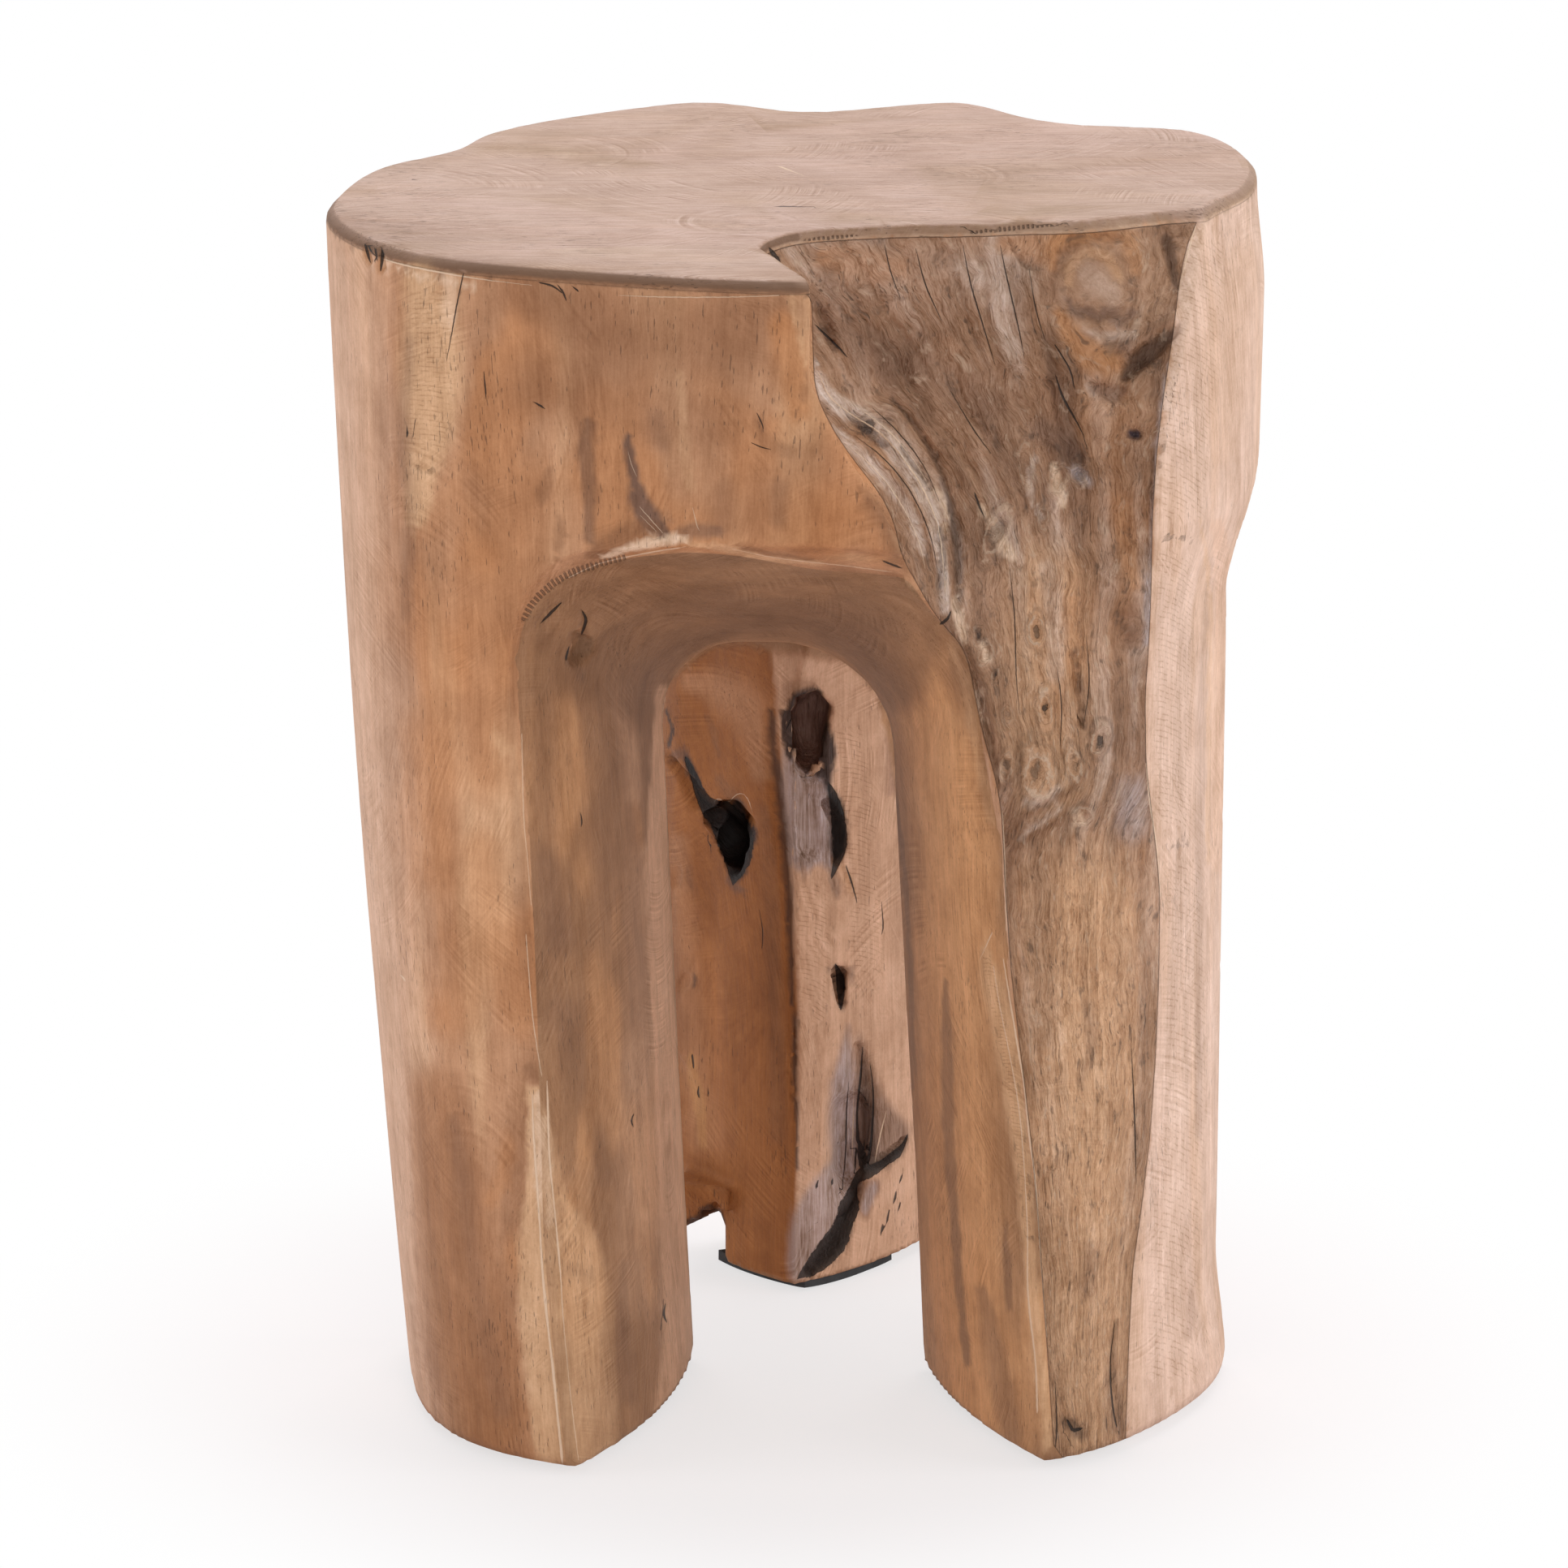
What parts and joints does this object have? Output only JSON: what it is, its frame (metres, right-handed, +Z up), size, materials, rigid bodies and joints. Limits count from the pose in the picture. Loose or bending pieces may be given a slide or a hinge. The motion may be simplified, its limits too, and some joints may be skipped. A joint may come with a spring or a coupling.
{
  "type": "log stool",
  "caption": "Round seat on three legs, carved from one log, with flared arches between the legs, a sunken natural flank at the front and rubber pads underfoot.",
  "frame": {"origin": "centre of the overall box at the floor, under the pads", "axes": "+Z up through the seat; -Y towards the front arch and the sunken flank; +X to the right, seen from the front"},
  "size_m": [0.3388, 0.3199, 0.45],
  "materials": {
    "teak": "sanded and dry, matt, with grey weathered wood in the hollows",
    "pad_rubber": "matt black",
    "tack_steel": "plain"
  },
  "bodies": {
    "root": {"log_body": "teak", "front_left_pad": "pad_rubber", "front_right_pad": "pad_rubber", "rear_pad": "pad_rubber", "front_left_tack_1": "tack_steel", "front_left_tack_2": "tack_steel", "front_right_tack_1": "tack_steel", "front_right_tack_2": "tack_steel", "rear_tack_1": "tack_steel", "rear_tack_2": "tack_steel"}
  },
  "joints": []
}
